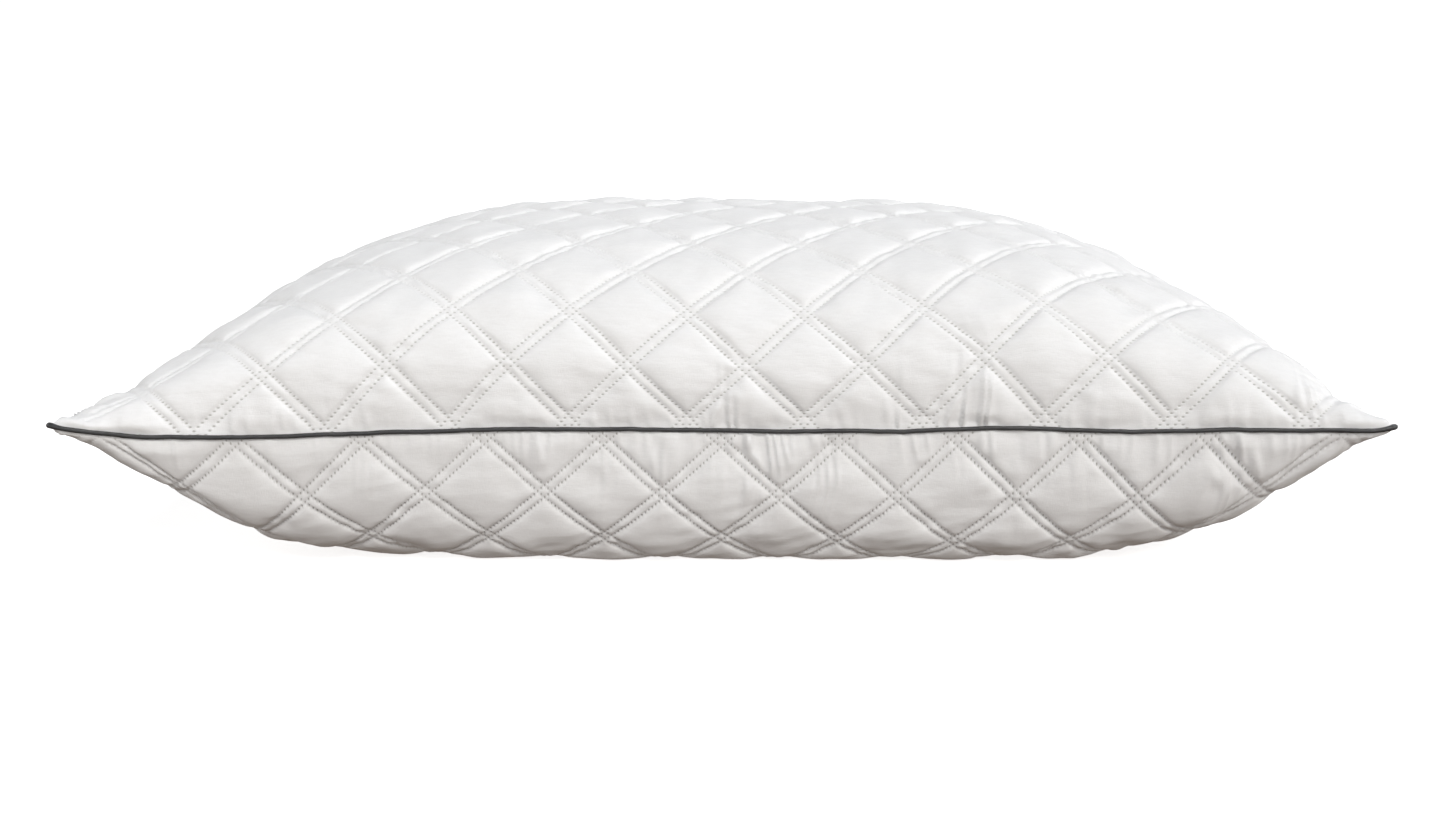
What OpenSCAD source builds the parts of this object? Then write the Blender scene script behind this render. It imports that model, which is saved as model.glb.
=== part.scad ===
// Bed pillow, 20 x 30 inch cut, with a quilted three-ply casing and a corded seam.
// Millimetres. X runs along the long side, Y from front to back, Z up.
// The origin is on the surface that the pillow lies on, under its centre.

/* [Filled outline at the seam] */
// Half length at the middle of a short side, which the filling pulls in
mid_half_l = 341; // [300:1:360]
// Half length at the corners
corner_half_l = 364; // [361:1:390]
// Half width at the middle of a long side, which the filling pulls in
mid_half_w = 195; // [170:1:210]
// Half width at the corners
corner_half_w = 228; // [211:1:240]
// How late the short sides flare out to the corners
flare_l = 4; // [2:0.1:6]
// How late the long sides flare out to the corners
flare_w = 2.4; // [2:0.1:6]
// How far the four tips curl up above the middle of the seam
tip_lift = 17; // [0:1:30]

/* [Section] */
// Height of the crown above the seam
crown_h = 109; // [80:1:130]
// Roundness of the crown along the length, 2 is an ellipse
crown_round_l = 2.2; // [2:0.05:4]
// Roundness of the crown across the width
crown_round_w = 2.6; // [2:0.05:4]
// Height of the seam above the surface that the pillow lies on
seam_h = 88; // [60:1:100]
// Depth that the belly would hang below the seam with nothing under it
belly_h = 135; // [110:1:150]
// Roundness of the belly along the length
belly_round_l = 2; // [2:0.05:4]
// Roundness of the belly across the width
belly_round_w = 3.2; // [2:0.05:4]
// Half height of the soft bend where the belly meets the surface it lies on
bend_h = 6; // [2:0.5:10]

/* [Casing plies] */
// Thickness of the brushed face fabric
face_t = 0.8; // [0.4:0.1:1.5]
// Thickness of the wadding
wadding_t = 6; // [2:0.5:10]
// Thickness of the non-woven backing
backing_t = 0.6; // [0.4:0.1:1.5]

/* [Corded seam] */
// Radius of the filler cord
cord_r = 0.95; // [0.7:0.05:1.5]
// Thickness of the strip folded round the cord
strip_t = 0.4; // [0.3:0.05:0.6]
// Width of the folded strip inside the seam
flange_w = 5; // [3:0.5:6]
// Radius of the sewing thread
thread_r = 0.25; // [0.15:0.05:0.3]
// Play between the sewing thread and what it lies against
thread_play = 0.1; // [0.05:0.05:0.2]

/* [Hidden] */

// Grid steps along the length and across the width of every ply
steps_l = 24;
steps_w = 18;
rim_count = 2 * (steps_l + steps_w);
// Insets of the interfaces between the plies, counted from the outside
wadding_in = face_t;
backing_in = face_t + wadding_t;
fill_in = face_t + wadding_t + backing_t;
// The two leaves of the folded strip part the top plies from the bottom ones
half_slit = strip_t;
leaf_gap = 0.02;
piping_r = cord_r + strip_t;
// Power of the tip lift: the seam stays level until close to the corners
lift_power = 6;
// Sides of the swept rounds
piping_sides = 8;
thread_sides = 5;
// The back edge is closed last, over this many grid steps each side of its middle
closing_steps = 3;

white = "#f2f1ee";
ivory = "#e6e3dc";
charcoal = "#4b4c4f";

// ---- the pillow's surface, from a in -1..1 along the length and b in -1..1 across ----

// Height of a superellipse at q of its half axis
function arch(q, n) = pow(max(0, 1 - pow(abs(q), n)), 1 / n);

function plan_x(a, b, inset) =
    a * (mid_half_l + (corner_half_l - mid_half_l) * pow(abs(b), flare_l) - inset);

function plan_y(a, b, inset) =
    b * (mid_half_w + (corner_half_w - mid_half_w) * pow(abs(a), flare_w) - inset);

// Height of the seam surface over the plan
function seam_z(x, y) =
    seam_h + tip_lift * pow(abs(x * y) / (corner_half_l * corner_half_w), lift_power);

function crown_point(a, b, inset) =
    let (x = plan_x(a, b, inset), y = plan_y(a, b, inset))
    [x, y, seam_z(x, y) + half_slit
        + (crown_h - inset) * arch(a, crown_round_l) * arch(b, crown_round_w)];

// A depth that turns softly into the limit over twice the bend height
function rested(depth, limit) =
    limit - depth > bend_h ? depth
    : limit - depth < -bend_h ? limit
    : limit - pow(limit - depth + bend_h, 2) / (4 * bend_h);

function belly_point(a, b, inset) =
    let (x = plan_x(a, b, inset), y = plan_y(a, b, inset),
         free = (belly_h - inset) * arch(a, belly_round_l) * arch(b, belly_round_w))
    [x, y, seam_z(x, y) - half_slit - rested(free, seam_h - half_slit - inset)];

// ---- grids, shells and swept rounds ----

function grid_a(i) = sin(90 * (2 * i / steps_l - 1));
function grid_b(j) = sin(90 * (2 * j / steps_w - 1));

function crown_grid(inset) =
    [for (j = [0 : steps_w]) for (i = [0 : steps_l]) crown_point(grid_a(i), grid_b(j), inset)];
function belly_grid(inset) =
    [for (j = [0 : steps_w]) for (i = [0 : steps_l]) belly_point(grid_a(i), grid_b(j), inset)];

function at(i, j) = j * (steps_l + 1) + i;

// Two triangles a cell, wound so that the grid faces up
function grid_faces(first) =
    [for (j = [0 : steps_w - 1]) for (i = [0 : steps_l - 1]) for (half = [0, 1])
        half == 0
            ? [first + at(i, j), first + at(i, j + 1), first + at(i + 1, j + 1)]
            : [first + at(i, j), first + at(i + 1, j + 1), first + at(i + 1, j)]];

function flipped(faces) = [for (f = faces) [f[2], f[1], f[0]]];

// Grid place of rim point k, counted anticlockwise from the front left corner
function rim_ij(k) =
    let (m = k % rim_count)
    m < steps_l ? [m, 0]
    : m < steps_l + steps_w ? [steps_l, m - steps_l]
    : m < 2 * steps_l + steps_w ? [2 * steps_l + steps_w - m, steps_w]
    : [0, rim_count - m];

function rim_at(k) = let (ij = rim_ij(k)) at(ij[0], ij[1]);

// The wall that joins the rims of two grids
function rim_faces(upper, lower) =
    [for (k = [0 : rim_count - 1]) for (half = [0, 1])
        half == 0
            ? [upper + rim_at(k), upper + rim_at(k + 1), lower + rim_at(k + 1)]
            : [upper + rim_at(k), lower + rim_at(k + 1), lower + rim_at(k)]];

// The closed solid between an upper and a lower grid
module between(upper, lower) {
    n = len(upper);
    polyhedron(
        points = concat(upper, lower),
        faces = concat(flipped(grid_faces(n)), rim_faces(0, n), grid_faces(0)),
        convexity = 4
    );
}

// A point of the seam line, in plan, moved out by out
function rim_point(k, out) =
    let (ij = rim_ij(k), a = grid_a(ij[0]), b = grid_b(ij[1]),
         x = plan_x(a, b, -out), y = plan_y(a, b, -out))
    [x, y];

// The way out of the pillow at rim point k, drawn longer at a corner to keep the width
function rim_out(k) =
    let (before = unit(rim_point(k, 0) - rim_point(k + rim_count - 1, 0)),
         after = unit(rim_point(k + 1, 0) - rim_point(k, 0)),
         way = unit([before[1] + after[1], -before[0] - after[0]]))
    way / max(0.35, way * [after[1], -after[0]]);

function unit(v) = v / norm(v);

// Sweeps a section of [out, up] points along the seam, from rim point first to last
module along_seam(section, first, last) {
    sides = len(section);
    whole = last - first >= rim_count;
    rings = whole ? rim_count : last - first + 1;
    points = [for (r = [0 : rings - 1]) for (s = section)
        let (k = first + r, p = rim_point(k, 0) + rim_out(k) * s[0])
        [p[0], p[1], seam_z(p[0], p[1]) + s[1]]];
    skin = [for (r = [0 : rings - (whole ? 1 : 2)]) for (s = [0 : sides - 1]) for (half = [0, 1])
        let (here = r * sides, next = ((r + 1) % rings) * sides, t = (s + 1) % sides)
        half == 0 ? [here + s, here + t, next + t] : [here + s, next + t, next + s]];
    ends = whole ? [] : [
        [for (s = [sides - 1 : -1 : 0]) s],
        [for (s = [0 : sides - 1]) (rings - 1) * sides + s]
    ];
    polyhedron(points = points, faces = concat(skin, ends), convexity = 6);
}

// A round section centred out from the seam line, wound so that the sweep faces out
function round_section(r, out, up, sides) =
    [for (s = [0 : sides - 1]) let (turn = -360 * (s + 0.5) / sides)
        [out + r * cos(turn), up + r * sin(turn)]];

// An arc about the cord's centre that leaves room for the strip's two leaves
function piping_arc(r, leaf) =
    let (start = 180 - asin(leaf / r))
    [for (s = [0 : piping_sides]) let (turn = start * (1 - 2 * s / piping_sides))
        [piping_r + r * cos(turn), r * sin(turn)]];

// The strip folded round the cord: outside face, then back along the inside face
function strip_section() = concat(
    [[-flange_w, half_slit]], piping_arc(piping_r, half_slit), [[-flange_w, -half_slit]],
    [[-flange_w, -leaf_gap]], reversed(piping_arc(cord_r, leaf_gap)), [[-flange_w, leaf_gap]]
);

function reversed(list) = [for (i = [len(list) - 1 : -1 : 0]) list[i]];

// Where a sewing thread lies, in the groove between the piping and the face fabric
thread_out = thread_r + thread_play;
thread_up = thread_play + sqrt(pow(piping_r + thread_r, 2) - pow(piping_r - thread_out, 2));

// The back edge's middle, as a rim point
closing_mid = steps_l + steps_w + steps_l / 2;

// ---- sub-parts ----

module top_face_fabric() {
    color(white) between(crown_grid(0), crown_grid(wadding_in));
}

module top_wadding() {
    color(ivory) between(crown_grid(wadding_in), crown_grid(backing_in));
}

module top_backing() {
    color(white) between(crown_grid(backing_in), crown_grid(fill_in));
}

module bottom_face_fabric() {
    color(white) between(belly_grid(wadding_in), belly_grid(0));
}

module bottom_wadding() {
    color(ivory) between(belly_grid(backing_in), belly_grid(wadding_in));
}

module bottom_backing() {
    color(white) between(belly_grid(fill_in), belly_grid(backing_in));
}

module fibre_fill() {
    color(ivory) between(crown_grid(fill_in), belly_grid(fill_in));
}

module piping_cover() {
    color(charcoal) along_seam(strip_section(), 0, rim_count);
}

module piping_cord() {
    color(ivory)
        along_seam(round_section(cord_r - leaf_gap, piping_r, 0, piping_sides), 0, rim_count);
}

// The overlocked raw edges, in the slit inside the folded strip
module overlock_edging() {
    slit = half_slit - leaf_gap;
    near = -flange_w - leaf_gap;
    far = -fill_in + leaf_gap;
    color(white)
        along_seam([[near, slit], [near, -slit], [far, -slit], [far, slit]], 0, rim_count);
}

// The seam's upper thread, all round but for the stretch that is closed last
module needle_thread() {
    color(charcoal)
        along_seam(
            round_section(thread_r, thread_out, thread_up, thread_sides),
            closing_mid + closing_steps,
            closing_mid - closing_steps + rim_count
        );
}

// The seam's lower thread, all round
module bobbin_thread() {
    color(charcoal)
        along_seam(
            round_section(thread_r, thread_out, -thread_up, thread_sides), 0, rim_count
        );
}

// The thread that closes the filling gap in the back edge
module closing_thread() {
    color(white)
        along_seam(
            round_section(thread_r, thread_out, thread_up, thread_sides),
            closing_mid - closing_steps,
            closing_mid + closing_steps
        );
}

top_face_fabric();
top_wadding();
top_backing();
bottom_face_fabric();
bottom_wadding();
bottom_backing();
fibre_fill();
piping_cover();
piping_cord();
overlock_edging();
needle_thread();
bobbin_thread();
closing_thread();
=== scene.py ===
"""A filled bed pillow: diamond-quilted casing, corded seam and hollow-fibre fill, on a pale studio floor.

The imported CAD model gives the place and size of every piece. This script makes the pieces as they look:
the casing is laid out flat in its own cut, brought to the filled form, settled by a cloth simulation and
then quilted dot by dot. Lengths are in millimetres until a mesh is made, and Blender's are in metres.
"""

from __future__ import annotations

import logging
from dataclasses import dataclass, field
from enum import Enum
from typing import Callable, Optional, Sequence

import bpy
import numpy as np
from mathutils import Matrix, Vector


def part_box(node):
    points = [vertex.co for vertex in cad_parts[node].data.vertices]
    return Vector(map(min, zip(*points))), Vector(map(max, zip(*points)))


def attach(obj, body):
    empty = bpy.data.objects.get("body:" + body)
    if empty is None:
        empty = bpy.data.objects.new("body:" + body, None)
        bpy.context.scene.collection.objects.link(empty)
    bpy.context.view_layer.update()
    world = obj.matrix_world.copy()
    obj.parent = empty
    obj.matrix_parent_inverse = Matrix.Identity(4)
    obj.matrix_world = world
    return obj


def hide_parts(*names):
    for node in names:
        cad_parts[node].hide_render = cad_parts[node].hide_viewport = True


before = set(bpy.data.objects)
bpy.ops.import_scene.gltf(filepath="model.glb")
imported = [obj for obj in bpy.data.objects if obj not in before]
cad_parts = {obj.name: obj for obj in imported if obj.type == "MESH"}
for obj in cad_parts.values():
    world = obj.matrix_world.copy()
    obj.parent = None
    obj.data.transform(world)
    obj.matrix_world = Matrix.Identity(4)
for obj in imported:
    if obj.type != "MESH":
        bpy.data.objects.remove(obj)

LOG = logging.getLogger("pillow")
MM = 0.001
WAVE_SCALE = 0.31
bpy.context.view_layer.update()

NEIGHBOURS = ((1, 1), (-1, -1), (1, -1), (-1, 1), (2, 0), (-2, 0), (0, 2), (0, -2))
Array = np.ndarray
Pairs = tuple[tuple[float, float], ...]
Tree, Node, Socket = bpy.types.NodeTree, bpy.types.Node, bpy.types.NodeSocket
Material, Piece = bpy.types.Material, bpy.types.Object


# ---- small helpers


class Side(Enum):
    """Which panel of the casing."""

    TOP = 1
    BOTTOM = -1


def linear(hex_colour: str) -> tuple[float, float, float, float]:
    """Turns an sRGB hex colour, such as "#f2f1ee", into linear red, green and blue, with an alpha of one."""
    parts = [int(hex_colour[i : i + 2], 16) / 255 for i in (1, 3, 5)]
    low, high = [p / 12.92 for p in parts], [((p + 0.055) / 1.055) ** 2.4 for p in parts]
    return (*[lo if p <= 0.04045 else hi for p, lo, hi in zip(parts, low, high)], 1.0)


def add_node(tree: Tree, kind: str, settings: Optional[dict] = None, **inputs: object) -> Node:
    """Adds a node, sets its settings and fills or links its inputs.

    Args:
        tree: the material's node tree.
        kind: the node's type name, without "ShaderNode".
        settings: the node's own settings, such as its operation.
        inputs: one per input, by its name with _ for a space, or in_N for input number N. A socket is linked.
    """
    node = tree.nodes.new("ShaderNode" + kind)
    for name, value in (settings or {}).items():
        setattr(node, name, value)
    for name, value in inputs.items():
        number = name[3:]
        key = int(number) if name.startswith("in_") and number.isdigit() else name.replace("_", " ")
        if isinstance(value, Socket):
            tree.links.new(value, node.inputs[key])
        else:
            node.inputs[key].default_value = value
    return node


def new_material(name: str, **shader: object) -> tuple[Material, Tree, Node]:
    """Makes a material with one Principled shader, whose sockets take the values given.

    Returns:
        The material, its node tree and its shader.
    """
    material = bpy.data.materials.new(name)
    material.use_nodes = True
    tree = material.node_tree
    tree.nodes.clear()
    bsdf = add_node(tree, "BsdfPrincipled", None, **shader)
    add_node(tree, "OutputMaterial", None, Surface=bsdf.outputs["BSDF"])
    return material, tree, bsdf


def dress(material: Material, bsdf: Node, colour: Socket, normal: Socket) -> Material:
    """Gives a material's shader its colour and its fine relief."""
    material.node_tree.links.new(colour, bsdf.inputs["Base Color"])
    material.node_tree.links.new(normal, bsdf.inputs["Normal"])
    return material


def mix(tree: Tree, share: Socket, low: object, high: object) -> Socket:
    """Mixes two colours, each an sRGB hex or a socket: low where the share is 0, high where it is 1."""
    ends = [linear(colour) if isinstance(colour, str) else colour for colour in (low, high)]
    return add_node(tree, "Mix", {"data_type": "RGBA"}, in_0=share, in_6=ends[0], in_7=ends[1]).outputs[2]


def ramp(tree: Tree, value: Socket, *limits: float, kind: str = "LINEAR") -> Socket:
    """Maps a value between the first two limits onto the other two, or onto 0 to 1, and holds it beyond."""
    inputs = {f"in_{k + 1}": limit for k, limit in enumerate(limits)}
    return add_node(tree, "MapRange", {"interpolation_type": kind}, Value=value, **inputs).outputs[0]


def calc(tree: Tree, operation: str, *values: object) -> Socket:
    """One step of arithmetic on sockets and numbers."""
    inputs = {f"in_{k}": value for k, value in enumerate(values)}
    return add_node(tree, "Math", {"operation": operation}, **inputs).outputs[0]


def bump(tree: Tree, height: Socket, strength: float, deep_mm: float, **under: Socket) -> Socket:
    """Fine relief from a height, on top of the relief under it."""
    node = add_node(tree, "Bump", None, Height=height, Strength=strength, Distance=deep_mm * MM, **under)
    return node.outputs[0]


def noise_field(tree: Tree, place: Socket, size_mm: float, detail: float, distortion: float = 0.0) -> Socket:
    """Noise with spots of about one size."""
    scale = 1 / (size_mm * MM)
    node = add_node(tree, "TexNoise", None, Vector=place, Scale=scale, Detail=detail, Distortion=distortion)
    return node.outputs[0]


def slanting_threads(tree: Tree, thread_mm: float, slant: float, distortion: float) -> Socket:
    """Bands that run aslant along a swept piece, one for each thread or ply."""
    turned = add_node(tree, "Mapping", None, Vector=on_cloth(tree), Rotation=(0, 0, slant)).outputs[0]
    scale = WAVE_SCALE / (thread_mm * MM)
    return add_node(tree, "TexWave", None, Vector=turned, Scale=scale, Distortion=distortion).outputs["Fac"]


def on_cloth(tree: Tree) -> Socket:
    """Places on the flat cut, or along and round a swept piece, in metres."""
    return add_node(tree, "UVMap", {"uv_map": "cut"}).outputs["UV"]


def in_space(tree: Tree) -> Socket:
    """Places in the object's own space, in metres."""
    return add_node(tree, "TexCoord").outputs["Object"]


def new_mesh(
    name: str,
    points: Array,
    quads: Array,
    cut: Optional[Array] = None,
    marks: Optional[dict[str, Array]] = None,
) -> Piece:
    """Makes a smooth-shaded mesh object and links it to the scene.

    Args:
        name: the object's name.
        points: vertices, in millimetres.
        quads: the four vertex numbers of each face.
        cut: each vertex's place on the flat cloth, in millimetres, kept as the UV map "cut" in metres.
        marks: values per vertex that the material reads, by attribute name.
    """
    mesh = bpy.data.meshes.new(name)
    corners, count = quads.ravel().astype(np.int32), len(quads)
    mesh.vertices.add(len(points))
    mesh.vertices.foreach_set("co", (points * MM).astype(np.float32).ravel())
    mesh.loops.add(len(corners))
    mesh.loops.foreach_set("vertex_index", corners)
    mesh.polygons.add(count)
    mesh.polygons.foreach_set("loop_start", np.arange(count, dtype=np.int32) * 4)
    mesh.polygons.foreach_set("loop_total", np.full(count, 4, np.int32))
    mesh.polygons.foreach_set("use_smooth", np.ones(count, bool))
    mesh.update(calc_edges=True)
    if cut is not None:
        places = (cut * MM)[corners].astype(np.float32)
        mesh.uv_layers.new(name="cut").data.foreach_set("uv", places.ravel())
    for mark, values in (marks or {}).items():
        mesh.attributes.new(mark, "FLOAT", "POINT").data.foreach_set("value", values.astype(np.float32))
    mesh.validate()
    piece = bpy.data.objects.new(name, mesh)
    bpy.context.scene.collection.objects.link(piece)
    return piece


def sewn_numbers(shape: tuple[int, int]) -> tuple[dict[Side, Array], Array]:
    """Numbers the vertices of two grids, one over the other, that share their rim.

    Returns:
        The vertex numbers of each side, and which places of the grid are on the rim.
    """
    rim = np.ones(shape, bool)
    rim[1:-1, 1:-1] = False
    top = np.arange(rim.size).reshape(shape)
    bottom = top.copy()
    bottom[~rim] = top.size + np.arange(int((~rim).sum()))
    return {Side.TOP: top, Side.BOTTOM: bottom}, rim


def sewn_faces(numbers: dict[Side, Array]) -> Array:
    """The cells of both grids, wound to face outward."""
    quads = []
    for side, grid in numbers.items():
        cells = [grid[:-1, :-1], grid[1:, :-1], grid[1:, 1:], grid[:-1, 1:]]
        quads.append(np.stack([c.ravel() for c in cells], 1)[:, :: side.value])
    return np.concatenate(quads)


def place_piece(piece: Piece, finish: Material, slot: str, *nodes: str) -> Piece:
    """Gives a piece its finish, hangs it on the root body and hides the CAD nodes that it stands for."""
    piece.data.materials.append(finish)
    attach(piece, "root")
    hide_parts(*nodes)
    LOG.info("%s: %d vertices", piece.name, len(piece.data.vertices))
    return piece


class ValueNoise:
    """Smooth noise on a plane from a seeded table, the same on every run."""

    def __init__(self, seed: int, size: int = 512) -> None:
        """Fills the table from the seed."""
        self.size = size
        self.table = np.random.default_rng(seed).uniform(-1.0, 1.0, (size, size))

    def __call__(self, x: Array, y: Array) -> Array:
        """Noise from -1 to 1 at x, y, with one table value per unit."""
        xi, yi = np.floor(x).astype(int), np.floor(y).astype(int)
        fx, fy = x - xi, y - yi
        fx, fy = fx * fx * (3 - 2 * fx), fy * fy * (3 - 2 * fy)
        t, x0, x1, y0, y1 = self.table, *(k % self.size for k in (xi, xi + 1, yi, yi + 1))
        near = t[x0, y0] * (1 - fx) + t[x1, y0] * fx
        far = t[x0, y1] * (1 - fx) + t[x1, y1] * fx
        return near * (1 - fy) + far * fy


def bell(value: Array, reach: float) -> Array:
    """One at zero, falling off softly over about the reach."""
    return np.exp(-((value / reach) ** 2))


def smooth_step(low: float, high: float, value: Array) -> Array:
    """Zero under low, one over high and a soft S between them."""
    t = np.clip((value - low) / (high - low), 0.0, 1.0)
    return t * t * (3 - 2 * t)


# ---- the filled form


@dataclass
class Cut:
    """The casing's flat cut, at the seam line, and the grid that the form is worked out on."""

    half_l: float = 381.0
    half_w: float = 254.0
    steps_l: int = 128
    steps_w: int = 86

    def from_edges(self, u: Array, v: Array) -> tuple[Array, Array]:
        """How far places on the cut are from the nearest short edge and the nearest long one."""
        return self.half_l - np.abs(u), self.half_w - np.abs(v)

    def grid(self) -> tuple[Array, Array]:
        """The grid's places along and across the cut, from -1 to 1."""
        s = np.linspace(-1, 1, self.steps_l + 1)
        t = np.linspace(-1, 1, self.steps_w + 1)
        return np.meshgrid(s, t, indexing="ij")


@dataclass
class Form:
    """The smooth filled pillow. The corner sizes and heights come from the CAD nodes' boxes.

    The wave and the lumps are pairs of a place along the pillow and a rise there, in millimetres.
    """

    cut: Cut
    mid_half_l: float = 341.0
    mid_half_w: float = 195.0
    flare_l: float = 4.0
    flare_w: float = 2.4
    crown_round: tuple[float, float] = (2.2, 2.6)
    belly_round: tuple[float, float] = (2.0, 3.2)
    belly_h: float = 135.0
    bend_h: float = 6.0
    tip_lift: float = 14.0
    lift_power: float = 6.0
    tip_round: float = 0.5
    tip_power: float = 26.0
    tip_flat: float = 0.62
    tip_reach: float = 46.0
    seam_reach: float = 30.0
    wander: float = 1.4
    seam_wave: Pairs = (
        (-357, -3), (-256, -1.5), (-122, 1), (16, -1), (100, -1),
        (155, 2), (227, 1), (280, 3), (333, 0), (357, -4),
    )
    crown_lumps: Pairs = (
        (-370, 0), (-330, -8), (-290, -5), (-240, 0), (-165, 3), (-20, -4),
        (60, -4), (180, 5), (260, 1), (335, 3), (370, 0),
    )
    belly_lumps: Pairs = (
        (-370, 0), (-335, 9), (-270, -4), (-180, 1), (0, -1), (130, -3), (280, -4), (325, 0), (370, 0),
    )
    corner_half_l: float = field(init=False)
    corner_half_w: float = field(init=False)
    seam_h: float = field(init=False)
    crown_h: float = field(init=False)

    def __post_init__(self) -> None:
        """Reads the corners, the seam's height and the crown's from the frame."""
        low, high = (np.array(p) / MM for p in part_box("top_face_fabric"))
        self.corner_half_l, self.corner_half_w = float(high[0]), float(high[1])
        self.seam_h, self.crown_h = float(low[2]), float(high[2] - low[2])

    @staticmethod
    def arch(q: Array, n: float) -> Array:
        """Height of a superellipse at q of its half axis."""
        return np.clip(1 - np.abs(q) ** n, 0, None) ** (1 / n)

    def rested(self, depth: Array) -> Array:
        """A depth under the seam that turns softly into the surface the pillow lies on."""
        spare = self.seam_h - depth
        bend = self.seam_h - (spare + self.bend_h) ** 2 / (4 * self.bend_h)
        return np.where(spare > self.bend_h, depth, np.where(spare < -self.bend_h, self.seam_h, bend))

    def half_l(self, b: Array) -> Array:
        """Half length in plan at b across, which the filling pulls in between the corners."""
        return self.mid_half_l + (self.corner_half_l - self.mid_half_l) * np.abs(b) ** self.flare_l

    def half_w(self, a: Array) -> Array:
        """Half width in plan at a along."""
        return self.mid_half_w + (self.corner_half_w - self.mid_half_w) * np.abs(a) ** self.flare_w

    def rise(self, side: Side, hold: Array, q: Array, along: bool) -> Array:
        """Height from the seam at q along one axis, where the other axis leaves hold of the full height."""
        axis = 0 if along else 1
        if side is Side.TOP:
            return self.crown_h * hold * self.arch(q, self.crown_round[axis])
        return -self.rested(self.belly_h * hold * self.arch(q, self.belly_round[axis]))

    def by_arc(self, side: Side, hold: float, half: float, along: bool, wanted: Array) -> Array:
        """Where along an axis the cloth lies, so that its length is spent evenly over the section.

        Args:
            side: the panel.
            hold: the share of full height that the section has.
            half: the section's half width in plan.
            along: True for a section along the length.
            wanted: places on the cut from -1 to 1, which come back as places in plan from -1 to 1.
        """
        q = 1 - np.linspace(1, 0, 500) ** 3
        z = self.rise(side, hold, q, along)
        length = np.concatenate([[0], np.cumsum(np.hypot(np.diff(q) * half, np.diff(z)))])
        return np.sign(wanted) * np.interp(np.abs(wanted), length / length[-1], q)

    def place(self, side: Side) -> Array:
        """The grid of the cut on the filled form, by place along, place across and axis."""
        s, t = self.cut.grid()
        b_mid = self.by_arc(side, 1.0, self.mid_half_w, False, t[0])
        a_mid = self.by_arc(side, 1.0, self.mid_half_l, True, s[:, 0])
        along, across = self.crown_round if side is Side.TOP else self.belly_round
        a, b = np.empty_like(s), np.empty_like(t)
        for j, b_row in enumerate(b_mid):
            a[:, j] = self.by_arc(side, float(self.arch(b_row, across)), self.half_l(b_row), True, s[:, j])
        for i, a_row in enumerate(a_mid):
            b[i] = self.by_arc(side, float(self.arch(a_row, along)), self.half_w(a_row), False, t[i])
        x, y = a * self.half_l(b), b * self.half_w(a)
        tip = np.abs(s * t) ** self.tip_power
        x, y = x - np.sign(x) * self.tip_round * tip, y - np.sign(y) * self.tip_round * tip
        lift = self.tip_lift * (np.abs(x * y) / (self.corner_half_l * self.corner_half_w)) ** self.lift_power
        from_tip = np.hypot((1 - np.abs(s)) * self.cut.half_l, (1 - np.abs(t)) * self.cut.half_w)
        pinched = 1 - self.tip_flat * bell(from_tip, self.tip_reach)
        bulge = self.arch(a, along) * self.arch(b, across) * pinched
        if side is Side.TOP:
            z = self.crown_h * bulge + self.trimmed(self.crown_lumps, x, bulge)
        else:
            z = -self.rested(self.belly_h * bulge - self.trimmed(self.belly_lumps, x, bulge))
        return np.stack([x, y, self.seam_h + lift + z + self.unevenness(s, t, x)], axis=-1)

    @staticmethod
    def trimmed(lumps: Pairs, x: Array, bulge: Array) -> Array:
        """What the uneven filling adds to the even form's height, none at the seam."""
        places, rises = zip(*lumps)
        return np.interp(x, places, rises) * smooth_step(0.0, 0.45, bulge)

    def unevenness(self, s: Array, t: Array, x: Array) -> Array:
        """How far the seam runs above or below its even height, fading over the panels."""
        places, rises = zip(*self.seam_wave)
        from_front, from_back = (1 + t) * self.cut.half_w, (1 - t) * self.cut.half_w
        from_end = (1 - np.abs(s)) * self.cut.half_l
        noise = ValueNoise(3)
        front = np.interp(x, places, rises) * np.exp(-from_front / self.seam_reach)
        behind = self.wander * noise(x / 70, 0 * x) * np.exp(-from_back / self.seam_reach)
        ends = self.wander * noise(t * 4 + 9, s) * np.exp(-from_end / self.seam_reach) * (1 - t * t)
        return front + behind + ends


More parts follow.
